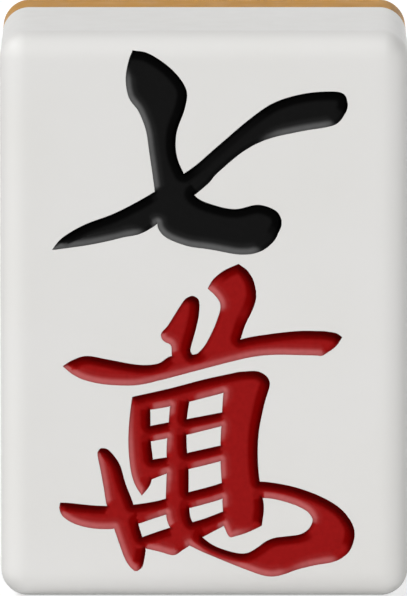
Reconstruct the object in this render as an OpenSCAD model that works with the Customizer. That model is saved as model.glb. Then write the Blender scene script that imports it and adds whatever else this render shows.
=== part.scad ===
// Playing tile of two bonded plastic layers, standing on its short end.
// The white face block carries two cut numerals, seven above ten thousand, and a coat of paint
// lines each cut. The coloured back block is bonded flat behind it.
// Sizes are millimetres. The origin is the middle of the base, +Z runs up the tile
// and the face looks along -Y.

/* [Tile] */
// Width across the face
tile_w = 30; // [24:0.5:36]
// Height, standing on the short end
tile_h = 42; // [34:0.5:50]
// Thickness from the face to the back
tile_t = 22; // [16:0.5:28]
// Thickness of the coloured back layer
back_t = 6.5; // [3:0.25:10]

/* [Rounding] */
// Radius of the four corners, seen from the face
corner_r = 2.3; // [2.1:0.1:4]
// Radius rolled along the rim of the face
face_edge_r = 2; // [0.5:0.1:2.1]
// Radius rolled along the rim of the back
back_edge_r = 2; // [0.5:0.1:2.1]

/* [Numerals] */
// Depth of the cut numerals below the face
cut_depth = 0.8; // [0.4:0.05:1.5]
// Thickness of the paint that lines the cuts
paint_t = 0.15; // [0.05:0.01:0.3]
// Steps of the curve from one rung of a brush stroke to the next
curve_steps = 4; // [3:1:8]

/* [Hidden] */
$fn = 48;

// How far a cutting solid runs past the surface that it opens
overrun = 0.5;

// Thickness of the white layer
face_t = tile_t - back_t;
// Planes in the drawing frame, where +Z looks out of the face
face_plane = tile_t / 2;
back_plane = -tile_t / 2;
bond_plane = back_plane + back_t;

// The face as the picture shows it, in pixels: its middle column, its foot row, its width and height
mid_px = 204.3;
foot_px = 599.5;
wide_px = 408.3;
tall_px = 565.4;

// Each brush stroke is a ladder of rungs. A rung runs from one edge of the stroke to the other,
// written as [column, row, column, row] in pixels of the picture.
// Cross stroke of seven, rising from its left tip
seven_bar_px = [
    [52.5, 249.5, 52.5, 249.5],
    [63, 237.5, 68, 247.5],
    [85, 224.7, 93, 243.7],
    [115, 213.3, 122, 237.2],
    [148, 196, 150, 228.4],
    [190, 169.9, 203, 187.6],
    [215, 149, 217, 173],
    [250, 119.3, 243, 151.3],
    [275, 102.8, 268, 138.8],
    [305, 94.1, 302, 131],
    [333, 92.2, 329, 126.4],
    [344, 95.2, 339, 121.5],
    [347, 103.5, 345.5, 112],
];
// Falling stroke of seven, turning right into its hook
seven_fall_px = [
    [133, 51.3, 133, 51.3],
    [129, 62, 150, 55],
    [126.2, 80, 172, 70.4],
    [129.5, 98, 186, 90],
    [139, 111.5, 184.5, 109],
    [146.3, 130, 176.2, 133.5],
    [149.7, 152, 177, 158],
    [155, 190, 189, 184],
    [159, 229, 197, 198],
    [182, 243.9, 217, 206.2],
    [212, 249.2, 236, 209.3],
    [240, 254, 258, 205],
    [259, 251.5, 275, 210.5],
    [273, 241.5, 280.7, 218.5],
    [280, 228.5, 281.2, 224],
];
// Long bar of ten thousand's crown, from its left tip
crown_bar_px = [
    [63, 366, 63, 366],
    [73, 360, 73, 374],
    [87, 356, 86, 380],
    [107, 359.4, 107, 384.1],
    [138, 364.8, 136, 384.7],
    [158, 363.6, 158, 380.2],
    [171.5, 356, 175, 375.9],
    [195, 354.3, 200, 369.2],
    [240, 339.6, 246, 357.6],
    [268, 334.4, 272, 354.3],
    [300, 331, 300, 354.5],
    [325, 331.3, 322.5, 355.2],
];
// Right end of that bar, cut on the slant
crown_bar_end_px = [
    [325, 331.3, 322.5, 355.2],
    [336, 333.2, 335, 346.5],
    [342, 337, 342, 337],
];
// Left upright of the crown, with a spur on its outer side
crown_left_px = [
    [189.5, 296.6, 194, 296.1],
    [184.5, 300, 198.7, 300.5],
    [175.5, 313.7, 198.6, 314],
    [168, 325.6, 196, 327],
    [161.3, 333.7, 193.3, 337],
    [163.6, 340.4, 192, 341.5],
    [171, 344.6, 190.6, 347],
    [172, 352, 190.2, 351.5],
    [172, 363, 195, 358],
];
// Head of the right upright of the crown
crown_right_head_px = [
    [238.5, 264, 238.5, 264],
    [224, 270.6, 247, 270.4],
    [213.5, 279.3, 253, 280],
    [208, 288.3, 255.7, 291],
];
// Leg of the right upright, down to the bar
crown_right_leg_px = [
    [208, 288.3, 255.7, 291],
    [216, 295.8, 255.6, 299],
    [220.9, 306, 251.6, 311],
    [216, 323.5, 245, 324.4],
    [206, 344, 240.6, 338],
    [196, 355.5, 236, 350],
];
// Left side of ten thousand's window frame, ending in a point
frame_left_px = [
    [132.5, 396.9, 150, 401],
    [129.8, 418, 150, 416],
    [128.6, 444, 150.5, 442],
    [130.8, 469, 153, 466],
    [135, 484, 150, 484],
    [141.7, 495.3, 141.7, 495.3],
];
// Top of the window frame
frame_top_px = [
    [132.5, 396.9, 133, 412],
    [170, 388.5, 171, 405.7],
    [205, 379.3, 205, 397.2],
    [240, 371.8, 238, 388.5],
];
// Right side of the frame, running on below it
frame_right_px = [
    [226, 386, 240, 371.8],
    [224.2, 389, 259, 371.8],
    [223.6, 394, 269.4, 382],
    [222.5, 410, 264.3, 403],
    [221.3, 432, 258.8, 430],
    [220.8, 458, 257.5, 456],
    [222, 482, 259.5, 482],
    [223, 505, 263.6, 506],
    [224, 525.7, 261.7, 525.5],
];
// Foot of the right side
frame_right_foot_px = [
    [224, 525.7, 261.7, 525.5],
    [229.5, 536.7, 256, 528.6],
    [236, 536, 247, 532.5],
];
// Upright through the middle of the frame
frame_middle_px = [
    [171, 398, 189.8, 396],
    [169, 422, 186.6, 419],
    [167, 446, 186.3, 445],
    [167, 472, 188.2, 470],
    [166, 500, 188.4, 495],
    [167, 519, 190.3, 518],
    [173, 534, 199, 531],
];
// Upper cross bar of the frame
frame_bar_upper_px = [
    [140, 428, 140, 443],
    [170, 422.3, 167, 438],
    [186.5, 419.3, 186.3, 434.5],
    [235, 410, 235, 422.3],
];
// Lower cross bar of the frame
frame_bar_lower_px = [
    [140, 461.5, 140, 484],
    [167, 457.5, 167, 473.2],
    [187, 453.2, 188, 469],
    [235, 442.5, 235, 457.2],
];
// Left leg, crossing the shoulder stroke
leg_left_px = [
    [99.6, 449.2, 101.5, 448.2],
    [97.6, 454, 108.5, 450.3],
    [100.5, 469, 119, 464],
    [103.6, 486, 125.2, 484],
    [107, 506, 133, 504.7],
    [114, 528, 139.5, 530],
    [120, 545.5, 145, 547],
    [125, 559, 144, 558.5],
    [130, 567, 141.9, 567],
    [134.5, 571.2, 137.5, 571],
];
// Shoulder stroke under the frame, from its left end
shoulder_px = [
    [60.2, 503, 59.4, 509],
    [68, 503.3, 63, 516.5],
    [84, 505, 76, 524.3],
    [100, 506.2, 98, 528.8],
    [125, 506, 126, 527.2],
    [156, 501.6, 154, 518.2],
    [178, 495.2, 178, 511],
    [212, 486.4, 212, 501.8],
    [236, 478, 236, 494],
];
// Slanting stroke below the shoulder
slant_px = [
    [141, 538, 145, 548.3],
    [157, 532.4, 160, 551.8],
    [172, 527.5, 173.5, 555.2],
    [184, 524.6, 183, 549.8],
    [203, 519.6, 203, 537],
    [224, 511.6, 224, 525.7],
    [236, 507, 236, 519],
];
// Tail, sweeping out to the right and back underneath
tail_px = [
    [250, 481.5, 250, 498],
    [270, 482.7, 270, 498.2],
    [295, 487.5, 290, 503],
    [320, 496.5, 306, 510.2],
    [340, 508.5, 312.7, 518],
    [352, 523.5, 312.5, 523.5],
    [354.5, 537, 308.5, 530],
    [349, 552, 300, 535],
    [336, 561.2, 287, 536.8],
    [316, 565.2, 275, 538.4],
    [297, 569.8, 266, 542],
    [280, 575.7, 257, 548.5],
    [266, 576.2, 246, 553.9],
    [247, 570, 232, 552.6],
    [220, 559.2, 214, 546.2],
    [200, 550.7, 202, 537.5],
    [186, 543.6, 192, 528],
];

// Strokes of each region of paint
seven_strokes_px = [seven_bar_px, seven_fall_px];
crown_strokes_px = [crown_bar_px, crown_bar_end_px, crown_left_px, crown_right_head_px, crown_right_leg_px];
body_strokes_px = [
    frame_left_px, frame_top_px, frame_right_px, frame_right_foot_px, frame_middle_px,
    frame_bar_upper_px, frame_bar_lower_px, leg_left_px, shoulder_px, slant_px, tail_px,
];

// A pixel of the picture set out on the face, across and up from the middle of the base
function on_face(column, row) = [
    (column - mid_px) * tile_w / wide_px,
    (foot_px - row) * tile_h / tall_px,
];

// Point at the share s of the way from b to c, on the smooth curve that runs a, b, c, d
function curve(a, b, c, d, s) =
    b + ((c - a) * s + (2 * a - 5 * b + 4 * c - d) * s * s + (3 * b - a - 3 * c + d) * s * s * s) / 2;

// All rungs of a stroke, with the curved steps between those of its ladder
function rungs(ladder) = let (last = len(ladder) - 1) [
    for (i = [0:last - 1])
        for (step = [0:i == last - 1 ? curve_steps : curve_steps - 1])
            curve(
                i == 0 ? 2 * ladder[0] - ladder[1] : ladder[i - 1],
                ladder[i],
                ladder[i + 1],
                i + 1 == last ? 2 * ladder[last] - ladder[last - 1] : ladder[i + 2],
                step / curve_steps
            ),
];

// One brush stroke laid flat on the face, up one edge of its rungs and back along the other
module stroke(ladder) {
    all = rungs(ladder);
    polygon(concat(
        [for (rung = all) on_face(rung[0], rung[1])],
        [for (i = [len(all) - 1:-1:0]) on_face(all[i][2], all[i][3])]
    ));
}

// Outline of a numeral, drawn in by a coat of the given thickness
module numeral(strokes, coat) {
    offset(delta = -coat)
        for (ladder = strokes)
            stroke(ladder);
}

// Solid that fills a numeral's cut from its floor to past the face, drawn in all round by a coat
module cut(strokes, coat) {
    translate([0, 0, face_plane - cut_depth + coat])
        linear_extrude(cut_depth - coat + overrun)
            numeral(strokes, coat);
}

// Section of a block's rim: a strip as wide as the corner radius, rounded along its outer edges
module rim_section(depth, front_r, rear_r) {
    difference() {
        square([corner_r, depth]);
        if (front_r > 0)
            translate([corner_r - front_r, depth - front_r])
                difference() {
                    square(front_r + overrun);
                    circle(front_r);
                }
        if (rear_r > 0)
            translate([corner_r - rear_r, rear_r])
                mirror([0, 1])
                    difference() {
                        square(rear_r + overrun);
                        circle(rear_r);
                    }
    }
}

// Quarter of a block, from its middle out to one rounded corner, with its depth along +Z
module block_quarter(depth, front_r, rear_r) {
    half_flat_w = tile_w / 2 - corner_r;
    half_flat_h = tile_h / 2 - corner_r;
    cube([half_flat_w, half_flat_h, depth]);
    translate([half_flat_w, half_flat_h, 0])
        rotate([90, 0, 0])
            linear_extrude(half_flat_h)
                rim_section(depth, front_r, rear_r);
    translate([0, half_flat_h, 0])
        rotate([90, 0, 90])
            linear_extrude(half_flat_w)
                rim_section(depth, front_r, rear_r);
    translate([half_flat_w, half_flat_h, 0])
        rotate_extrude(angle = 90)
            rim_section(depth, front_r, rear_r);
}

// Block of the tile's outline, standing on the base line, with rolled front and rear edges
module block(depth, front_r, rear_r) {
    translate([0, tile_h / 2, 0])
        for (side = [0, 1])
            for (end = [0, 1])
                mirror([side, 0, 0])
                    mirror([0, end, 0])
                        block_quarter(depth, front_r, rear_r);
}

// Turns the drawing frame, with the face looking up, to the standing tile
module stand() {
    rotate([90, 0, 0])
        children();
}

// Face block before it is cut
module face_blank() {
    translate([0, 0, bond_plane])
        block(face_t, face_edge_r, 0);
}

// White block with the numerals cut into it
module face_block() {
    color("#deddd9")
        stand()
            difference() {
                face_blank();
                for (strokes = [seven_strokes_px, crown_strokes_px, body_strokes_px])
                    cut(strokes, 0);
            }
}

// Coloured layer bonded behind the face block
module back_block() {
    color("#b98c3f")
        stand()
            translate([0, 0, back_plane])
                block(back_t, 0, back_edge_r);
}

// Paint that lines the floor and walls of one cut, wiped level with the face and its rolled rim
module paint(strokes) {
    stand()
        difference() {
            intersection() {
                face_blank();
                cut(strokes, 0);
            }
            cut(strokes, paint_t);
        }
}

module seven_paint() {
    color("#141414")
        paint(seven_strokes_px);
}

module ten_thousand_crown_paint() {
    color("#8f1414")
        paint(crown_strokes_px);
}

module ten_thousand_body_paint() {
    color("#8f1414")
        paint(body_strokes_px);
}

face_block();
back_block();
seven_paint();
ten_thousand_crown_paint();
ten_thousand_body_paint();
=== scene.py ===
import functools
import math

import bmesh
import bpy
import numpy as np
from bpy.props import FloatProperty, FloatVectorProperty, IntProperty, PointerProperty
from bpy.types import Operator, Panel, PropertyGroup
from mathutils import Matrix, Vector
from mathutils.geometry import delaunay_2d_cdt
from mathutils.kdtree import KDTree


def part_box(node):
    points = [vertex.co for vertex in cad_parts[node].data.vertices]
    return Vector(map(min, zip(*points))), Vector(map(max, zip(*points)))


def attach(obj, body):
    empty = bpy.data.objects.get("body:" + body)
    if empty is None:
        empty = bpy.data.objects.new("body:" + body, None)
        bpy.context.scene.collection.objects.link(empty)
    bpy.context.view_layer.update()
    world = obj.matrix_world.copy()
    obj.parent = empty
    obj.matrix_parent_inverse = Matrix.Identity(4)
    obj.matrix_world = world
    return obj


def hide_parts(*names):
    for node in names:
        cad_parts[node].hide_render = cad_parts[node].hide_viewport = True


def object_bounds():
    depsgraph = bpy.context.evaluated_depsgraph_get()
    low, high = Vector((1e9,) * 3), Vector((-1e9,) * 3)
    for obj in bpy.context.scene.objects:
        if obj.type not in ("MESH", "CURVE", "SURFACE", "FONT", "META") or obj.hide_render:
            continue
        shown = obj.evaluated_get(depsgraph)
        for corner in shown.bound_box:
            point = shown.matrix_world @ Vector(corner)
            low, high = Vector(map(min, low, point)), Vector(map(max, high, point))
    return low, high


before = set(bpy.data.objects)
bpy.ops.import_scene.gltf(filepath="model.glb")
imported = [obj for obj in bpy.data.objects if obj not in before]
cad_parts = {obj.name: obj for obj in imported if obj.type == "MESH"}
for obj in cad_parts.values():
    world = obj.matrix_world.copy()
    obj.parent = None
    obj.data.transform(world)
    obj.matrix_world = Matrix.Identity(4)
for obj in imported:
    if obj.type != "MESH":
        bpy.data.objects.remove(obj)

bl_info = {
    "name": "Mahjong Tile",
    "version": (1, 0, 0),
    "blender": (4, 5, 0),
    "location": "3D View > Sidebar > Tile",
    "description": "Dresses the solids of a two-layer playing tile and lights it in a small studio",
    "category": "Object",
}

# The frame: boxes of the solids at rest, in metres, with the face looking along -Y
MM = 0.001
CAD_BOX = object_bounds()
FACE_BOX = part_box("face_block")
BACK_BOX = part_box("back_block")
FACE_PLANE = FACE_BOX[0].y
BOND_PLANE = FACE_BOX[1].y
BACK_PLANE = BACK_BOX[1].y
CUT_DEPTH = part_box("seven_paint")[1].y - FACE_PLANE
MIDDLE = (CAD_BOX[0] + CAD_BOX[1]) / 2
HALF_WIDTH = (CAD_BOX[1].x - CAD_BOX[0].x) / 2
HALF_HEIGHT = (CAD_BOX[1].z - CAD_BOX[0].z) / 2

# The painted numerals: solid, name of the piece that stands for it, its slot
PAINTED = (
    ("seven_paint", "black_seven", "black_paint"),
    ("ten_thousand_crown_paint", "red_ten_thousand_crown", "red_paint"),
    ("ten_thousand_body_paint", "red_ten_thousand_body", "red_paint"),
)

# Where the light that the painted highlight and painted shade stand for comes from, in degrees from the right
# of the face towards its top
PAINTED_LIGHT_FROM = 52

# Length in millimetres over which the painted highlight and painted shade follow a turn of an outline
PAINTED_LIGHT_BLEND = 0.35

# How squarely a wall must face the light for its painted highlight, and face away from it for its painted
# shade: the start and the full effect
HIGHLIGHT_FACING = (0.42, 0.66)
SHADE_FACING = (0, 0.36)

# Share of the painted highlight that ends with the highlight run; the rest fades out with the shade run
HIGHLIGHT_CORE_SHARE = 0.92

# Width of the weakest band of painted highlight, as a share of the widest
WEAKEST_BAND = 0.5

# Lamps, in degrees: round the tile from its front towards its right, up from the horizon, and across
LEFT_LAMP = {"round": -88, "rise": 45, "width": 38}
FRONT_LAMP = {"round": 4, "rise": 6, "width": 12}
BACK_LAMP = {"round": 150, "rise": 15, "width": 30}
GLOSS_LAMP = {"round": 180, "rise": 75, "width": 14}
PAINT_LAMP = {"round": 24, "rise": 35, "width": 30}

# What the white board adds to its own lit colour, so that the open floor is seen as white
BOARD_LIFT = 0.62

# Width of a full-frame sensor in millimetres; it stands upright here, as the picture does
SENSOR_WIDTH = 36

# Melamine and enamel are both clear resins with pigment, and bend light alike
RESIN_IOR = 1.5

# Points of the solids closer than this are one point
WELD = 0.0005 * MM

# Points of the layout closer than this many millimetres are one point
LAYOUT_WELD = 0.003

# Length in millimetres that counts as nothing
NOTHING = 1e-6

# Points that are worked on at a time
BATCH = 500

# In outline steps: the shortest side that a loop keeps, how far off an outline its inner side is probed,
# how far the rim's rings keep from a cut, the longest side of a cut's ring, and the spacing along a valley
SHORTEST_SIDE = 0.1
PROBE = 0.02
RIM_CLEARANCE = 2
LONGEST_CUT_SIDE = 2.5
VALLEY_STEP = 0.5

# How far the points of a flat keep from the rings beside it, in floor steps and in face steps
FLOOR_CLEARANCE = 0.5
FACE_CLEARANCE = 0.4

# Longest side of a rim's ring, in face steps
LONGEST_RIM_SIDE = 2

# Share of a ring's longest side within which its next point is left out
CROWDED = 0.05

# Share of the free room that a ring may take up
ROOM_SHARE = 0.99

# How far out the rings round a cut lie, in lip radii
LIP_RINGS = (0.3, 1, 3)

# Rings from the foot of a wall to the end of the painted shade
SHADE_RINGS = 4

# Degrees between the directions of a fan at a corner, and turn in degrees above which an edge shades sharp
FAN_TURN = 15
SHARP_TURN = 40


def linear(hex_colour):
    """Linear red, green and blue of an sRGB hex colour."""
    shares = [int(hex_colour[i:i + 2], 16) / 255 for i in (1, 3, 5)]
    return tuple(s / 12.92 if s <= 0.04045 else ((s + 0.055) / 1.055) ** 2.4 for s in shares)


def length(name, description, default_mm):
    """Property for a length that is written in millimetres."""
    return FloatProperty(
        name=name, description=description, default=default_mm * MM, min=0, precision=5,
        subtype="DISTANCE", unit="LENGTH",
    )


def colour(name, description, hex_colour):
    """Property for a colour that is written in sRGB hex."""
    return FloatVectorProperty(
        name=name, description=description, default=linear(hex_colour), min=0, max=1, size=3, subtype="COLOR",
    )


def angle(name, description, degrees):
    """Property for an angle that is written in degrees."""
    return FloatProperty(
        name=name, description=description, default=math.radians(degrees), subtype="ANGLE", unit="ROTATION",
    )


def share(name, description, default):
    """Property for a plain number."""
    return FloatProperty(name=name, description=description, default=default, min=0, precision=3)


class TileSizes(PropertyGroup):
    """Sizes of the tile's shapes that the solids leave plain."""

    corner_radius: length("Corner radius", "Radius of the four corners, seen from the face", 2.0)
    rim_radius: length("Rim radius", "Radius rolled along the rims of the face and the back", 2.0)
    guard: length(
        "Guard", "Width of the flat strip that keeps a rounding's shading off the flat beside it", 0.25,
    )
    lip: length("Lip", "Radius that tumbling leaves on the lip of a cut", 0.025)
    wall_run: length("Wall run", "How far the hollow wall of a cut reaches in from its outline", 0.4)
    # The next four lengths place the painted highlight and the painted shade in from each outline of a cut
    highlight_start: length("Highlight start", "How far in from an outline the painted highlight starts to fade", 0.12)
    highlight_run: length("Highlight run", "How far in from an outline the painted highlight reaches", 0.52)
    shade_start: length("Shade start", "How far in from an outline the painted shade starts to fade", 0.6)
    shade_run: length("Shade run", "How far in from an outline the painted shade reaches", 0.88)
    film: length("Paint film", "Thickness of the paint on the floor of a cut", 0.15)
    paint_edge: length("Paint edge", "Thickness of the paint at the rim of a cut", 0.02)
    outline_step: length("Outline step", "Spacing of the points along a cut's outline", 0.18)
    floor_step: length("Floor step", "Spacing of the points on the floor of a cut", 0.45)
    face_step: length("Face step", "Spacing of the points on the flat of the face", 1.5)
    corner_turn: angle("Corner turn", "Turn above which an outline's corner stays sharp", 42)
    arc_steps: IntProperty(name="Arc steps", description="Steps in a quarter turn", default=14, min=4)
    wall_steps: IntProperty(name="Wall steps", description="Steps down the wall of a cut", default=6, min=3)


class TileColours(PropertyGroup):
    """Colours of the tile's plastics and paints."""

    white: colour("White", "White plastic of the face block", "#DEDDDB")
    white_cloud: colour("White cloud", "Faint cloud in the white plastic", "#DAD9D5")
    amber: colour("Amber", "Amber plastic of the back block", "#BB8206")
    amber_swirl: colour("Amber swirl", "Flow marks in the amber plastic", "#AD7604")
    # After each paint's own colour come a paler colour, which is a painted highlight, and a deeper one, which
    # is painted shade, for the walls of the cuts
    black: colour("Black", "Black paint of the upper numeral", "#111111")
    black_highlight: colour("Black highlight", "Black paint with a painted highlight", "#5A5A5A")
    black_shade: colour("Black shade", "Black paint with painted shade", "#000000")
    red: colour("Red", "Red paint of the lower numeral", "#911515")
    red_highlight: colour("Red highlight", "Red paint with a painted highlight", "#AC5A5A")
    red_shade: colour("Red shade", "Red paint with painted shade", "#730000")


class StudioSettings(PropertyGroup):
    """Camera, lamps and floor."""

    camera_distance: length("Camera distance", "From the camera to the middle of the tile", 1000)
    camera_rise: angle("Camera rise", "Angle of the camera above the horizon", 8.4)
    picture_height: length("Picture height", "Height that the picture spans at the tile", 44.27)
    aim_left: length("Aim left", "How far left of the tile's middle the camera aims", 0.06)
    aim_below: length("Aim below", "How far below the tile's middle the camera aims", 0.203)
    floor_size: length("Floor size", "Side of the square floor", 2400)
    ambient: share("Ambient", "Light from all round on everything", 0.06)
    left_box: share("Left box", "Soft box on the plastic from the upper left", 0.74)
    front_box: share("Front box", "Soft box on the plastic from the front, near the camera", 0.71)
    back_box: share("Back box", "Soft box on the plastic from behind on the right", 0.6)
    gloss_box: share("Gloss box", "Small lamp above the back that shows only as a gloss on the amber", 24.0)
    paint_box: share("Paint box", "Soft box on the paint from the upper right front", 1.05)


def add_node(tree, kind, inputs=None, **settings):
    """Adds a node. Each input, by name or place, gets a value or a link from another node's output."""
    node = tree.nodes.new(kind)
    for name, value in settings.items():
        setattr(node, name, value)
    for socket, value in (inputs or {}).items():
        if isinstance(value, bpy.types.NodeSocket):
            tree.links.new(value, node.inputs[socket])
        else:
            node.inputs[socket].default_value = value
    return node


def new_material(name):
    """Empty material and its node tree."""
    material = bpy.data.materials.new(name)
    material.use_nodes = True
    material.node_tree.nodes.clear()
    return material, material.node_tree


def per_metre(millimetres):
    """Scale of a texture whose features are this far apart."""
    return 1 / (millimetres * MM)


def opaque(rgb):
    """Colour with full alpha, as sockets want it."""
    return (*rgb, 1.0)


def tumbled_melamine(tree, place, tint, smoothest, roughest, level):
    """Finishes a material as tumbled melamine of this tint, with its range of roughness and level of glare."""
    # Polish is uneven over a millimetre or two
    polish = add_node(tree, "ShaderNodeTexNoise", {"Vector": place, "Scale": per_metre(1.6), "Detail": 4.0})
    gloss = add_node(
        tree, "ShaderNodeMapRange",
        {
            "Value": polish.outputs["Fac"], "From Min": 0.3, "From Max": 0.7,
            "To Min": smoothest, "To Max": roughest,
        },
    )
    # The real ripple is about 0.3 mm across; it is drawn at 0.7 mm so that it shows
    ripple = add_node(tree, "ShaderNodeTexNoise", {"Vector": place, "Scale": per_metre(0.7), "Detail": 2.0})
    skin = add_node(
        tree, "ShaderNodeBump",
        {"Height": ripple.outputs["Fac"], "Strength": 0.06, "Distance": 0.02 * MM},
    )
    surface = add_node(
        tree, "ShaderNodeBsdfPrincipled",
        {
            "Base Color": tint, "Roughness": gloss.outputs["Result"], "Normal": skin.outputs["Normal"],
            "IOR": RESIN_IOR, "Specular IOR Level": level,
        },
    )
    add_node(tree, "ShaderNodeOutputMaterial", {"Surface": surface.outputs["BSDF"]})


# Moulded melamine, tumbled with grit and then polish: dense, cool white with a faint cloud where the powder
# flowed, a satin gloss that is a little uneven, and a skin with a shallow ripple instead of a mirror flat.
def melamine_white_tumbled(colours):
    material, tree = new_material("melamine_white_tumbled")
    place = add_node(tree, "ShaderNodeTexCoord").outputs["Object"]
    # Clouds are about 9 mm across
    cloud = add_node(tree, "ShaderNodeTexNoise", {"Vector": place, "Scale": per_metre(9), "Detail": 3.0})
    cloud_share = add_node(
        tree, "ShaderNodeMapRange",
        {"Value": cloud.outputs["Fac"], "From Min": 0.35, "From Max": 0.75, "To Min": 0.0, "To Max": 0.5},
    )
    tint = add_node(
        tree, "ShaderNodeMix",
        {0: cloud_share.outputs["Result"], 6: opaque(colours.white), 7: opaque(colours.white_cloud)},
        data_type="RGBA",
    )
    tumbled_melamine(tree, place, tint.outputs[2], smoothest=0.32, roughest=0.42, level=0.1)
    return material


# Moulded amber melamine, tumbled with the white: a warm honey brown with slow flow marks from the mould
# and a skin like the white's, polished a little further.
def melamine_amber_tumbled(colours):
    material, tree = new_material("melamine_amber_tumbled")
    place = add_node(tree, "ShaderNodeTexCoord").outputs["Object"]
    # Flow marks are about 8 mm long and bent by the flow
    flow = add_node(
        tree, "ShaderNodeTexNoise",
        {"Vector": place, "Scale": per_metre(8), "Detail": 4.0, "Distortion": 1.6},
    )
    swirl = add_node(
        tree, "ShaderNodeMapRange",
        {"Value": flow.outputs["Fac"], "From Min": 0.4, "From Max": 0.7, "To Min": 0.0, "To Max": 0.35},
    )
    tint = add_node(
        tree, "ShaderNodeMix",
        {0: swirl.outputs["Result"], 6: opaque(colours.amber), 7: opaque(colours.amber_swirl)},
        data_type="RGBA",
    )
    tumbled_melamine(tree, place, tint.outputs[2], smoothest=0.3, roughest=0.4, level=0.01)
    return material


# Enamel, brushed into the cut and wiped off the face: nearly matt, a full even colour on the floor, with a
# painted highlight along the walls that face the upper right and painted shade along those that face away.
def enamel_brushed_painted_light(name, full, painted_highlight, painted_shade):
    material, tree = new_material(name)
    place = add_node(tree, "ShaderNodeTexCoord").outputs["Object"]
    # The attribute holds painted light: towards 1 the colour turns to the painted highlight, towards -1 to the
    # painted shade
    highlight_minus_shade = add_node(tree, "ShaderNodeAttribute", attribute_name="coat").outputs["Fac"]
    highlighted = add_node(tree, "ShaderNodeMix", {0: highlight_minus_shade, 6: opaque(full), 7: opaque(painted_highlight)}, data_type="RGBA")
    shade_share = add_node(tree, "ShaderNodeMath", {0: highlight_minus_shade, 1: -1.0}, operation="MULTIPLY")
    coat = add_node(
        tree, "ShaderNodeMix",
        {0: shade_share.outputs["Value"], 6: highlighted.outputs[2], 7: opaque(painted_shade)}, data_type="RGBA",
    )
    # Brush marks of a small brush, about 0.4 mm apart
    marks = add_node(tree, "ShaderNodeTexNoise", {"Vector": place, "Scale": per_metre(0.4), "Detail": 3.0})
    shade = add_node(
        tree, "ShaderNodeMapRange",
        {"Value": marks.outputs["Fac"], "From Min": 0.3, "From Max": 0.7, "To Min": 0.94, "To Max": 1.06},
    )
    tint = add_node(
        tree, "ShaderNodeVectorMath", {0: coat.outputs[2], "Scale": shade.outputs["Result"]},
        operation="SCALE",
    )
    gloss = add_node(
        tree, "ShaderNodeMapRange",
        {"Value": marks.outputs["Fac"], "From Min": 0.3, "From Max": 0.7, "To Min": 0.42, "To Max": 0.55},
    )
    skin = add_node(
        tree, "ShaderNodeBump", {"Height": marks.outputs["Fac"], "Strength": 0.08, "Distance": 0.02 * MM},
    )
    surface = add_node(
        tree, "ShaderNodeBsdfPrincipled",
        {
            "Base Color": tint.outputs["Vector"], "Roughness": gloss.outputs["Result"],
            "Normal": skin.outputs["Normal"], "IOR": RESIN_IOR, "Specular IOR Level": 0.025,
        },
    )
    add_node(tree, "ShaderNodeOutputMaterial", {"Surface": surface.outputs["BSDF"]})
    return material


# Matt white studio board. It renders white to the eye and in reflections and keeps the tile's shadow.
def board_white_matt():
    material, tree = new_material("board_white_matt")
    seen = seen_directly(tree)
    board = add_node(tree, "ShaderNodeBsdfDiffuse", {"Color": opaque(linear("#C2C2C2"))})
    lift = add_node(tree, "ShaderNodeMath", {0: seen, 1: BOARD_LIFT}, operation="MULTIPLY")
    glow = add_node(
        tree, "ShaderNodeEmission", {"Color": opaque(linear("#FFFFFF")), "Strength": lift.outputs["Value"]},
    )
    both = add_node(tree, "ShaderNodeAddShader", {0: board.outputs["BSDF"], 1: glow.outputs["Emission"]})
    add_node(tree, "ShaderNodeOutputMaterial", {"Surface": both.outputs["Shader"]})
    return material


def seen_directly(tree):
    """Output that is 1 for camera, glossy and transmission rays and 0 for light that falls on the tile."""
    rays = add_node(tree, "ShaderNodeLightPath")
    first = add_node(
        tree, "ShaderNodeMath", {0: rays.outputs["Is Camera Ray"], 1: rays.outputs["Is Glossy Ray"]},
        operation="MAXIMUM",
    )
    both = add_node(
        tree, "ShaderNodeMath", {0: first.outputs["Value"], 1: rays.outputs["Is Transmission Ray"]},
        operation="MAXIMUM",
    )
    return both.outputs["Value"]


# Shapes are worked out in millimetres, as points (across, up) on the face.
def in_mm(*lengths):
    """Lengths in metres as millimetres."""
    return [value / MM for value in lengths]


def tile_outline(inset, corner_r, arc_steps, side_step):
    """Rounded rectangle of the tile, drawn in by inset; every inset gives the same number of points."""
    half_w, half_h = in_mm(HALF_WIDTH, HALF_HEIGHT)
    across, up = in_mm(MIDDLE.x, MIDDLE.z)
    flat_w, flat_h = half_w - corner_r, half_h - corner_r
    radius = max(corner_r - inset, 0)
    step_in = max(inset - corner_r, 0)
    points = []
    for quarter, (side_x, side_z, run) in enumerate(
        ((1, 1, 2 * flat_w), (-1, 1, 2 * flat_h), (-1, -1, 2 * flat_w), (1, -1, 2 * flat_h))
    ):
        corner = np.array([across + side_x * (flat_w - step_in), up + side_z * (flat_h - step_in)])
        for step in range(arc_steps + 1):
            turn = math.radians(90) * (quarter + step / arc_steps)
            points.append(corner + radius * np.array([math.cos(turn), math.sin(turn)]))
        along = np.array([-math.sin(turn), math.cos(turn)])
        pieces = round(run / side_step)
        last = points[-1]
        for piece in range(1, pieces):
            points.append(last + along * (run - 2 * step_in) * piece / pieces)
    return np.array(points)


def inset_from_outline(points, corner_r):
    """How far in from the tile's outline the points lie."""
    half = np.array(in_mm(HALF_WIDTH, HALF_HEIGHT)) - corner_r
    over = np.abs(points - np.array(in_mm(MIDDLE.x, MIDDLE.z))) - half
    return corner_r - np.linalg.norm(np.maximum(over, 0), axis=1) - np.minimum(over.max(axis=1), 0)


def quarter_insets(radius, steps):
    """How far in from its start each point of a quarter turn lies, in even steps of the turn."""
    return [radius * (1 - math.cos(math.radians(90) * i / steps)) for i in range(steps + 1)]


def rolled_drop(inset, radius):
    """How far a rolled rim falls back from the plane of its face, this far in from the outline."""
    reach = np.clip(radius - inset, 0, radius)
    return radius - np.sqrt(radius ** 2 - reach ** 2)


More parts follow.
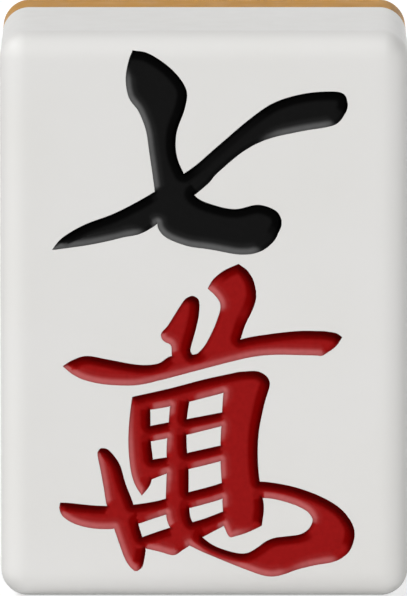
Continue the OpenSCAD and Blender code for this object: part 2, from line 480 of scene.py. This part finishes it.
def floor_loops(node):
    """Outline loops of the cut that the paint lines, from the floor of its solid."""
    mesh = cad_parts[node].data
    spots = [(round(v.co.x / WELD), round(v.co.z / WELD)) for v in mesh.vertices]
    floor = max(v.co.y for v in mesh.vertices)
    sides = set()
    for polygon in mesh.polygons:
        if min(mesh.vertices[i].co.y for i in polygon.vertices) > floor - WELD:
            corners = [spots[i] for i in polygon.vertices]
            sides.update(zip(corners, corners[1:] + corners[:1]))
    follow = {a: b for a, b in sides if (b, a) not in sides}
    loops = []
    while follow:
        start, here = follow.popitem()
        loop = [start]
        while here != start:
            loop.append(here)
            here = follow.pop(here)
        loops.append(np.array(loop) * WELD / MM)
    return sorted(loops, key=len, reverse=True)


def smooth_step(values, low, high):
    """0 at low, 1 at high, and a smooth rise between."""
    t = np.clip((values - low) / (high - low), 0, 1)
    return t * t * (3 - 2 * t)


def turns_of(loop):
    """Turn in radians at each point of a loop."""
    before = loop - np.roll(loop, 1, axis=0)
    after = np.roll(loop, -1, axis=0) - loop
    cross = before[:, 0] * after[:, 1] - before[:, 1] * after[:, 0]
    return np.arctan2(cross, (before * after).sum(axis=1))


def smooth_loop(loop, step, corner_turn):
    """Loop with even points on a curve through its own points, between the corners that stay sharp."""
    gaps = np.linalg.norm(np.roll(loop, -1, axis=0) - loop, axis=1)
    loop = loop[gaps > SHORTEST_SIDE * step]
    corners = np.flatnonzero(np.abs(turns_of(loop)) > corner_turn)
    if len(corners):
        loop = np.roll(loop, -corners[0], axis=0)
        corners = corners - corners[0]
    stops = [*corners, len(loop)] if len(corners) else [0, len(loop)]
    closed = np.vstack([loop, loop[:1]])
    pieces = []
    for first, last in zip(stops, stops[1:]):
        stretch = closed[first:last + 1]
        run = np.concatenate([[0], np.cumsum(np.linalg.norm(np.diff(stretch, axis=0), axis=1))])
        count = max(2, math.ceil(run[-1] / step))
        even = np.linspace(0, run[-1], count + 1)[:-1]
        slope = np.gradient(stretch, run, axis=0)
        i = np.searchsorted(run, even, side="right") - 1
        span = (run[i + 1] - run[i])[:, None]
        t = (even - run[i])[:, None] / span
        pieces.append(
            (1 + 2 * t) * (1 - t) ** 2 * stretch[i] + t * (1 - t) ** 2 * span * slope[i]
            + t ** 2 * (3 - 2 * t) * stretch[i + 1] - t ** 2 * (1 - t) * span * slope[i + 1]
        )
    return np.vstack(pieces)


def grown_loop(loop, reach):
    """Loop moved by reach to the left of its own run, which is away from the paint."""
    runs = np.roll(loop, -1, axis=0) - loop
    left = np.stack([-runs[:, 1], runs[:, 0]], axis=1) / np.linalg.norm(runs, axis=1)[:, None]
    both = left + np.roll(left, 1, axis=0)
    return loop + reach * both / np.linalg.norm(both, axis=1)[:, None]


def fanned_rays(loop, aside):
    """Points of a loop and directions to one side of it; a sharp corner gets a fan of directions."""
    before = np.roll(aside, 1, axis=0)
    starts, directions = [], []
    for point, one, other in zip(loop, before, aside):
        turn = math.atan2(one[0] * other[1] - one[1] * other[0], one @ other)
        fan = max(1, math.ceil(abs(turn) / math.radians(FAN_TURN)))
        for part in [i / fan for i in range(fan + 1)] if fan > 1 else [0.5]:
            c, s = math.cos(turn * part), math.sin(turn * part)
            starts.append(point)
            directions.append((one[0] * c - one[1] * s, one[0] * s + one[1] * c))
    return np.array(starts), np.array(directions)


def blended(inward, before, step):
    """Directions in from the outlines that turn slowly past a corner, so that the painted highlight and shade
    turn smoothly with it.
    """
    soft = inward.copy()
    back = ahead = np.arange(len(before))
    after = np.argsort(before)
    # Neighbours count by a bell curve that is cut off at two blend lengths
    for i in range(1, math.ceil(2 * PAINTED_LIGHT_BLEND / step) + 1):
        back, ahead = before[back], after[ahead]
        soft += math.exp(-0.5 * (i * step / PAINTED_LIGHT_BLEND) ** 2) * (inward[back] + inward[ahead])
    return soft / np.linalg.norm(soft, axis=1)[:, None]


class Outlines:
    """All loops of the cuts, and what the layout and the paint ask of them."""

    def __init__(self, step, corner_turn, lip):
        self.loops = []
        for numeral, (node, _, _) in enumerate(PAINTED):
            for loop in floor_loops(node):
                self.loops.append((numeral, grown_loop(smooth_loop(loop, step, corner_turn), lip)))
        self.starts = np.vstack([loop for _, loop in self.loops])
        self.ends = np.vstack([np.roll(loop, -1, axis=0) for _, loop in self.loops])
        self.owner = np.concatenate([np.full(len(loop), numeral) for numeral, loop in self.loops])
        self.loop_of = np.concatenate([np.full(len(loop), i) for i, (_, loop) in enumerate(self.loops)])
        runs = self.ends - self.starts
        left = np.stack([-runs[:, 1], runs[:, 0]], axis=1) / np.linalg.norm(runs, axis=1)[:, None]
        probe = (self.starts + self.ends) / 2 + left * PROBE * step
        side = np.where(self.numeral_at(probe) == self.owner, 1, -1)
        self.inward = left * side[:, None]
        self.before = np.concatenate(
            [np.roll(np.flatnonzero(self.loop_of == i), 1) for i in range(len(self.loops))]
        )
        self.tree = KDTree(len(self.starts))
        for i, point in enumerate(self.starts):
            self.tree.insert((*point, 0), i)
        self.tree.balance()

    def numeral_at(self, points):
        """Number of the numeral that each point lies in, or -1 on the white."""
        found = np.full(len(points), -1)
        for numeral in range(len(PAINTED)):
            mine = self.owner == numeral
            a, b = self.starts[mine], self.ends[mine]
            near = np.flatnonzero(
                ((points >= a.min(axis=0)) & (points <= a.max(axis=0))).all(axis=1)
            )
            for part in np.array_split(near, len(near) // BATCH + 1):
                x, z = points[part, 0, None], points[part, 1, None]
                spans = (a[:, 1] > z) != (b[:, 1] > z)
                with np.errstate(divide="ignore", invalid="ignore"):
                    at = a[:, 0] + (z - a[:, 1]) * (b[:, 0] - a[:, 0]) / (b[:, 1] - a[:, 1])
                odd = (spans & (x < at)).sum(axis=1) % 2 == 1
                found[part[odd]] = numeral
        return found

    def distance(self, points):
        """Distance of each point to the outlines."""
        distance = np.empty(len(points))
        for i, point in enumerate(points):
            _, spot, _ = self.tree.find((*point, 0))
            best = math.inf
            for side in (spot, self.before[spot]):
                run = self.ends[side] - self.starts[side]
                offset = point - self.starts[side]
                gap = offset - min(max((offset @ run) / (run @ run), 0), 1) * run
                best = min(best, math.hypot(*gap))
            distance[i] = best
        return distance

    def coat(self, points, numeral, highlight_start, highlight_run, shade_start, shade_run):
        """Painted light on a numeral's paint: 1 for a painted highlight, 0 for its own even colour, -1 for
        painted shade.
        """
        mine = np.flatnonzero(self.owner == numeral)
        starts, inward, before = self.starts[mine], self.inward[mine], self.before[mine] - mine[0]
        runs = self.ends[mine] - starts
        # The painted highlight falls on walls that face the light, the painted shade on those that face away
        # from it
        light_from = math.radians(PAINTED_LIGHT_FROM)
        toward_light = np.array([math.cos(light_from), math.sin(light_from)])
        facing_light = blended(inward, before, np.linalg.norm(runs, axis=1).mean()) @ toward_light
        painted_highlight = smooth_step(facing_light, *HIGHLIGHT_FACING)
        painted_shade = smooth_step(-facing_light, *SHADE_FACING)
        highlight_minus_shade = []
        for part in np.array_split(points, len(points) // BATCH + 1):
            offset = part[:, None] - starts
            along = (offset * runs).sum(axis=2) / (runs ** 2).sum(axis=1)
            away = offset - np.clip(along, 0, 1)[:, :, None] * runs
            gap = np.linalg.norm(away, axis=2)
            inside = (offset * inward).sum(axis=2) > -NOTHING
            beside = inside & (along >= 0) & (along <= 1)
            round_corner = (inside | inside[:, before]) & (along < 0) & (along[:, before] > 1)
            gap = np.where(beside | round_corner, gap, shade_run)
            spread = gap / (WEAKEST_BAND + (1 - WEAKEST_BAND) * painted_highlight)
            core = smooth_step(spread, highlight_run, highlight_start)
            fringe = smooth_step(spread, shade_run, highlight_run)
            highlight_amount = painted_highlight * (HIGHLIGHT_CORE_SHARE * core + (1 - HIGHLIGHT_CORE_SHARE) * fringe)
            shade_amount = painted_shade * smooth_step(gap, shade_run, shade_start)
            highlight_minus_shade.append(highlight_amount.max(axis=1) - shade_amount.max(axis=1))
        return np.concatenate(highlight_minus_shade)

    def room(self, starts, directions):
        """Radius of the largest circle at each start, along its direction, that holds no outline."""
        offset = self.starts - starts[:, None]
        ahead = (offset * directions[:, None]).sum(axis=2)
        with np.errstate(divide="ignore", invalid="ignore"):
            radius = (offset ** 2).sum(axis=2) / (2 * ahead)
        return np.where(ahead > NOTHING, radius, np.inf).min(axis=1)


def hex_points(low, high, step):
    """Points of a hexagonal grid over a box."""
    rows = np.arange(low[1], high[1], step * math.sqrt(3) / 2)
    points = []
    for i, row in enumerate(rows):
        across = np.arange(low[0] + (i % 2) * step / 2, high[0], step)
        points.append(np.stack([across, np.full(len(across), row)], axis=1))
    return np.vstack(points)


def far_apart(points, gap):
    """Points left when those closer than gap to an earlier one are dropped."""
    taken, kept = {}, []
    for point in points:
        cell = (math.floor(point[0] / gap), math.floor(point[1] / gap))
        around = [(cell[0] + i, cell[1] + j) for i in (-1, 0, 1) for j in (-1, 0, 1)]
        if all(math.dist(point, taken[c]) >= gap for c in around if c in taken):
            taken[cell] = point
            kept.append(point)
    return np.array(kept).reshape(-1, 2)


class Sheet:
    """Points and constrained edges that are triangulated together."""

    def __init__(self):
        self.points = []
        self.edges = []

    def line(self, points, closed=False):
        """Adds points in a row, or in a ring, and the edges between them."""
        first = len(self.points)
        self.points.extend(points)
        self.edges.extend((i, i + 1) for i in range(first, len(self.points) - 1))
        if closed:
            self.edges.append((len(self.points) - 1, first))

    def runs(self, points, valid, longest):
        """Lines through the valid points of a loop, broken where they lie far apart."""
        run = []
        for point, good in [*zip(points, valid), (None, False)]:
            if good and (not run or math.dist(run[-1], point) < longest):
                if not run or math.dist(run[-1], point) > CROWDED * longest:
                    run.append(point)
                continue
            self.line(run)
            run = [point] if good else []
        self.line(run)

    def triangulate(self):
        """Points and triangles of the whole sheet."""
        points = [Vector(p) for p in self.points]
        found, _, faces, _, _, _ = delaunay_2d_cdt(points, self.edges, [], 0, LAYOUT_WELD)
        return np.array(found), np.array(faces)


@functools.lru_cache(maxsize=1)
def front_layout(
    corner_r, rim_r, guard, lip, wall_run, shade_run, step, floor_step, face_step,
    corner_turn, arc_steps, wall_steps,
):
    """The whole front, triangulated once, so that the face and the paint share their borders."""
    outlines = Outlines(step, corner_turn, lip)
    rim_room = inset_from_outline(outlines.starts, corner_r).min() - step
    rim_insets = quarter_insets(rim_r, arc_steps)
    plain = [inset for inset in rim_insets if inset < rim_room]
    sheet = Sheet()
    sheet.line(tile_outline(plain[-1], corner_r, arc_steps, face_step), closed=True)
    for inset in [*rim_insets[len(plain):], rim_r + guard]:
        ring = tile_outline(inset, corner_r, arc_steps, face_step)
        ring = np.vstack([ring, ring[:1]])
        sheet.runs(ring, outlines.distance(ring) > RIM_CLEARANCE * step, LONGEST_RIM_SIDE * face_step)
    wall = quarter_insets(wall_run, wall_steps)[1:]
    wall += np.linspace(wall_run, shade_run, SHADE_RINGS + 1)[1:].tolist()
    lips = [radii * lip for radii in LIP_RINGS]
    valley = []
    for i, (_, loop) in enumerate(outlines.loops):
        sheet.line(loop, closed=True)
        inward = outlines.inward[outlines.loop_of == i]
        for aside, reaches in ((inward, wall), (-inward, lips)):
            starts, directions = fanned_rays(loop, aside)
            room = outlines.room(starts, directions)
            for reach in reaches:
                ring = starts + directions * reach
                sheet.runs(ring, reach < ROOM_SHARE * room, LONGEST_CUT_SIDE * step)
            # A narrow stroke has no floor: its walls meet in a valley
            if aside is inward:
                valley.extend((starts + directions * room[:, None])[room < wall_run])
    sheet.points.extend(far_apart(valley, VALLEY_STEP * step))
    outline = tile_outline(0, corner_r, arc_steps, face_step)
    low, high = outline.min(axis=0), outline.max(axis=0)
    grid = hex_points(low, high, floor_step)
    clear = outlines.distance(grid) > shade_run + FLOOR_CLEARANCE * floor_step
    sheet.points.extend(grid[clear & (outlines.numeral_at(grid) >= 0)])
    grid = hex_points(low, high, face_step)
    room = inset_from_outline(grid, corner_r) - rim_r - guard
    clear = np.minimum(outlines.distance(grid), room) > FACE_CLEARANCE * face_step
    sheet.points.extend(grid[clear & (outlines.numeral_at(grid) < 0)])
    points, triangles = sheet.triangulate()
    owner = outlines.numeral_at(points[triangles].mean(axis=1))
    return outlines, points, triangles, owner, outlines.distance(points), plain


def layout_of(sizes):
    """The front for the sizes that are set, in millimetres."""
    lengths = in_mm(
        sizes.corner_radius, sizes.rim_radius, sizes.guard, sizes.lip, sizes.wall_run, sizes.shade_run,
        sizes.outline_step, sizes.floor_step, sizes.face_step,
    )
    return front_layout(*lengths, sizes.corner_turn, sizes.arc_steps, sizes.wall_steps)


def fall_of(gap, wall_run):
    """Share of a cut's depth this far in from its outline: a hollow wall that ends level on the floor."""
    reach = np.clip(gap / wall_run, 0, 1)
    return np.sqrt(1 - (1 - reach) ** 2)


def front_points(sizes):
    """The layout's points three times: on the face and its lips, on the paint, and on the bare cuts."""
    _, points, _, _, gap, _ = layout_of(sizes)
    corner_r, rim_r, lip, wall_run, film, paint_edge, plane, depth = in_mm(
        sizes.corner_radius, sizes.rim_radius, sizes.lip, sizes.wall_run, sizes.film, sizes.paint_edge,
        FACE_PLANE, CUT_DEPTH,
    )
    rolled = plane + rolled_drop(inset_from_outline(points, corner_r), rim_r)
    rounded = lip - np.sqrt(lip ** 2 - np.clip(lip - gap, 0, lip) ** 2)
    fall = fall_of(gap, wall_run)
    painted = lip + (depth - film - lip) * fall
    bare = lip + paint_edge + (depth - paint_edge - lip) * fall
    return [
        np.stack([points[:, 0], rolled + drop, points[:, 1]], axis=1) for drop in (rounded, painted, bare)
    ]


def border_of(triangles):
    """Directed edges round a patch of triangles."""
    sides = triangles[:, [0, 1, 1, 2, 2, 0]].reshape(-1, 2).tolist()
    known = {(a, b) for a, b in sides}
    return [(a, b) for a, b in sides if (b, a) not in known]


def wall_faces(border, shift):
    """Four-sided faces that join a border to its copy, whose numbers are higher by shift."""
    return [(b, a, a + shift, b + shift) for a, b in border]


def without_spares(points, faces):
    """Numbers of the points that the faces use, those points, and the faces renumbered to them."""
    used = sorted({corner for face in faces for corner in face})
    place = {corner: i for i, corner in enumerate(used)}
    return used, points[used], [tuple(place[corner] for corner in face) for face in faces]


def make_piece(name, points, faces, material, node, layers=()):
    """Closed mesh of points in millimetres, with layers of values, for a solid that it replaces."""
    mesh = bpy.data.meshes.new(name)
    mesh.from_pydata((np.asarray(points) * MM).tolist(), [], faces)
    for layer, values in layers:
        mesh.attributes.new(layer, "FLOAT", "POINT").data.foreach_set("value", values)
    shape = bmesh.new()
    shape.from_mesh(mesh)
    bmesh.ops.remove_doubles(shape, verts=shape.verts, dist=WELD)
    bmesh.ops.recalc_face_normals(shape, faces=shape.faces)
    open_edges = sum(not edge.is_manifold for edge in shape.edges)
    shape.to_mesh(mesh)
    shape.free()
    if open_edges:
        raise RuntimeError(f"{name} is not closed: {open_edges} edges")
    mesh.shade_smooth()
    mesh.set_sharp_from_angle(angle=math.radians(SHARP_TURN))
    mesh.materials.append(material)
    piece = bpy.data.objects.new(name, mesh)
    bpy.context.scene.collection.objects.link(piece)
    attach(piece, "root")
    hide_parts(node)


def ring_faces(count, rings):
    """Four-sided faces between rings of points that follow each other."""
    return [
        (r * count + i, r * count + (i + 1) % count, (r + 1) * count + (i + 1) % count, (r + 1) * count + i)
        for r in range(rings - 1)
        for i in range(count)
    ]


def rim_rings(sizes, bond, plane, insets):
    """Rings of a block's side, from the bond plane to its rolled rim."""
    corner_r, rim_r, guard, face_step = in_mm(
        sizes.corner_radius, sizes.rim_radius, sizes.guard, sizes.face_step,
    )
    inward = math.copysign(1, bond - plane)
    start = plane + inward * rim_r
    places = [(0, bond), (0, start + inward * guard)]
    places += [(inset, plane + inward * rolled_drop(np.array(inset), rim_r)) for inset in insets]
    rings = []
    for inset, depth in places:
        outline = tile_outline(inset, corner_r, sizes.arc_steps, face_step)
        rings.append(np.stack([outline[:, 0], np.full(len(outline), depth), outline[:, 1]], axis=1))
    return rings


class TILE_OT_face_block(Operator):
    """Build the white face block with its rolled rim and hollow cuts"""

    bl_idname = "tile.face_block"
    bl_label = "White face block"

    def execute(self, context):
        sizes, colours = context.scene.tile_sizes, context.scene.tile_colours
        _, _, triangles, owner, _, insets = layout_of(sizes)
        rings = rim_rings(sizes, *in_mm(BOND_PLANE, FACE_PLANE), insets)
        side = np.vstack(rings)
        face, _, bare = front_points(sizes)
        faces = ring_faces(len(rings[0]), len(rings))
        faces.append(tuple(range(len(rings[0]))))
        cuts = triangles[owner >= 0]
        faces.extend(map(tuple, (triangles[owner < 0] + len(side)).tolist()))
        faces.extend(map(tuple, (cuts + len(side) + len(face)).tolist()))
        faces.extend(wall_faces([(a + len(side), b + len(side)) for a, b in border_of(cuts)], len(face)))
        _, points, faces = without_spares(np.vstack([side, face, bare]), faces)
        make_piece(
            "white_face", points, faces, melamine_white_tumbled(colours), "face_block",
        )
        return {"FINISHED"}


class TILE_OT_back_block(Operator):
    """Build the amber back block with its rolled rim"""

    bl_idname = "tile.back_block"
    bl_label = "Amber back block"

    def execute(self, context):
        sizes, colours = context.scene.tile_sizes, context.scene.tile_colours
        rim_r, guard = in_mm(sizes.rim_radius, sizes.guard)
        insets = [*quarter_insets(rim_r, sizes.arc_steps), rim_r + guard]
        rings = rim_rings(sizes, *in_mm(BOND_PLANE, BACK_PLANE), insets)
        count = len(rings[0])
        side = np.vstack(rings)
        faces = ring_faces(count, len(rings))
        faces.append(tuple(range(count)))
        faces.append(tuple(range(len(side) - count, len(side))))
        make_piece("amber_back", side, faces, melamine_amber_tumbled(colours), "back_block")
        return {"FINISHED"}


class TILE_OT_numeral_paint(Operator):
    """Lay the paint in the cut numerals"""

    bl_idname = "tile.numeral_paint"
    bl_label = "Numeral paint"

    def execute(self, context):
        sizes, colours = context.scene.tile_sizes, context.scene.tile_colours
        outlines, spots, triangles, owner, _, _ = layout_of(sizes)
        _, painted, bare = front_points(sizes)
        runs = in_mm(sizes.highlight_start, sizes.highlight_run, sizes.shade_start, sizes.shade_run)
        black = enamel_brushed_painted_light(
            "enamel_black_brushed_painted_light", colours.black, colours.black_highlight, colours.black_shade,
        )
        red = enamel_brushed_painted_light(
            "enamel_red_brushed_painted_light", colours.red, colours.red_highlight, colours.red_shade,
        )
        for numeral, (node, name, slot) in enumerate(PAINTED):
            mine = triangles[owner == numeral]
            faces = [*map(tuple, mine.tolist()), *map(tuple, (mine[:, ::-1] + len(painted)).tolist())]
            faces += wall_faces(border_of(mine), len(painted))
            used, points, faces = without_spares(np.vstack([painted, bare]), faces)
            # Painted highlight and painted shade for the walls of this numeral
            coat = outlines.coat(np.vstack([spots, spots])[used], numeral, *runs)
            make_piece(
                name, points, faces, black if slot == "black_paint" else red, node, [("coat", coat)],
            )
        return {"FINISHED"}


def new_lamp(name, place, light, lit, mirrored=True, diffused=True):
    """Distant soft box that shines on the pieces that it lights; 1 renders a colour as written."""
    lamp = bpy.data.lights.new(name, "SUN")
    lamp.energy = math.pi * light
    lamp.angle = math.radians(place["width"])
    shown = bpy.data.objects.new(name, lamp)
    turn, rise = math.radians(place["round"]), math.radians(place["rise"])
    source = Vector((math.sin(turn) * math.cos(rise), -math.cos(turn) * math.cos(rise), math.sin(rise)))
    shown.rotation_euler = (-source).to_track_quat("-Z", "Y").to_euler()
    shown.visible_glossy = mirrored
    shown.visible_diffuse = diffused
    bpy.context.scene.collection.objects.link(shown)
    group = bpy.data.collections.new(name + "_lit")
    for piece in lit:
        group.objects.link(piece)
    shown.light_linking.receiver_collection = group


class TILE_OT_stage(Operator):
    """Set the floor, the lamps and the camera"""

    bl_idname = "tile.stage"
    bl_label = "Studio"

    def execute(self, context):
        scene, studio = context.scene, context.scene.tile_studio
        scene.view_settings.view_transform = "Standard"
        half = studio.floor_size / 2
        mesh = bpy.data.meshes.new("floor")
        mesh.from_pydata(
            [(-half, -half, 0), (half, -half, 0), (half, half, 0), (-half, half, 0)], [], [(0, 1, 2, 3)],
        )
        mesh.materials.append(board_white_matt())
        floor = bpy.data.objects.new("floor", mesh)
        scene.collection.objects.link(floor)
        paint = [bpy.data.objects[name] for _, name, _ in PAINTED]
        plastic = [bpy.data.objects[name] for name in ("white_face", "amber_back")]
        new_lamp("left_box", LEFT_LAMP, studio.left_box, [*plastic, floor])
        new_lamp("front_box", FRONT_LAMP, studio.front_box, [*plastic, floor], mirrored=False)
        new_lamp("back_box", BACK_LAMP, studio.back_box, [*plastic, floor], mirrored=False)
        new_lamp("gloss_box", GLOSS_LAMP, studio.gloss_box, plastic[1:], diffused=False)
        new_lamp("paint_box", PAINT_LAMP, studio.paint_box, paint)
        world = bpy.data.worlds.new("studio")
        world.use_nodes = True
        tree = world.node_tree
        tree.nodes.clear()
        white = opaque(linear("#FFFFFF"))
        dim = add_node(tree, "ShaderNodeBackground", {"Color": white, "Strength": studio.ambient})
        bright = add_node(tree, "ShaderNodeBackground", {"Color": white, "Strength": 1.0})
        mix = add_node(
            tree, "ShaderNodeMixShader",
            {0: seen_directly(tree), 1: dim.outputs["Background"], 2: bright.outputs["Background"]},
        )
        add_node(tree, "ShaderNodeOutputWorld", {"Surface": mix.outputs["Shader"]})
        scene.world = world
        lens = bpy.data.cameras.new("camera")
        lens.sensor_width = SENSOR_WIDTH
        lens.lens = lens.sensor_width * studio.camera_distance / studio.picture_height
        camera = bpy.data.objects.new("camera", lens)
        rise = studio.camera_rise
        back = Vector((0, -math.cos(rise), math.sin(rise)))
        aim = MIDDLE - Vector((studio.aim_left, 0, studio.aim_below))
        camera.location = aim + back * studio.camera_distance
        camera.rotation_euler = (-back).to_track_quat("-Z", "Y").to_euler()
        scene.collection.objects.link(camera)
        scene.camera = camera
        return {"FINISHED"}


class TILE_PT_panel(Panel):
    """Sidebar panel of the tile"""

    bl_idname = "TILE_PT_panel"
    bl_label = "Mahjong Tile"
    bl_space_type = "VIEW_3D"
    bl_region_type = "UI"
    bl_category = "Tile"

    def draw(self, context):
        for operator in OPERATORS:
            self.layout.operator(operator.bl_idname)
        for group in GROUPS:
            settings = getattr(context.scene, group)
            box = self.layout.box()
            for name in settings.bl_rna.properties.keys():
                if name not in ("rna_type", "name"):
                    box.prop(settings, name)


OPERATORS = (TILE_OT_face_block, TILE_OT_back_block, TILE_OT_numeral_paint, TILE_OT_stage)
GROUPS = {"tile_sizes": TileSizes, "tile_colours": TileColours, "tile_studio": StudioSettings}


def register():
    """Adds the tile's settings to the scene and its operators and panel to Blender."""
    for group, kind in GROUPS.items():
        bpy.utils.register_class(kind)
        setattr(bpy.types.Scene, group, PointerProperty(type=kind))
    for kind in (*OPERATORS, TILE_PT_panel):
        bpy.utils.register_class(kind)


def unregister():
    """Takes away what register added."""
    for kind in reversed((*OPERATORS, TILE_PT_panel)):
        bpy.utils.unregister_class(kind)
    for group, kind in GROUPS.items():
        delattr(bpy.types.Scene, group)
        bpy.utils.unregister_class(kind)


def main():
    """Builds the tile and its studio."""
    register()
    bpy.ops.tile.face_block()
    bpy.ops.tile.back_block()
    bpy.ops.tile.numeral_paint()
    bpy.ops.tile.stage()


if __name__ == "__main__":
    main()
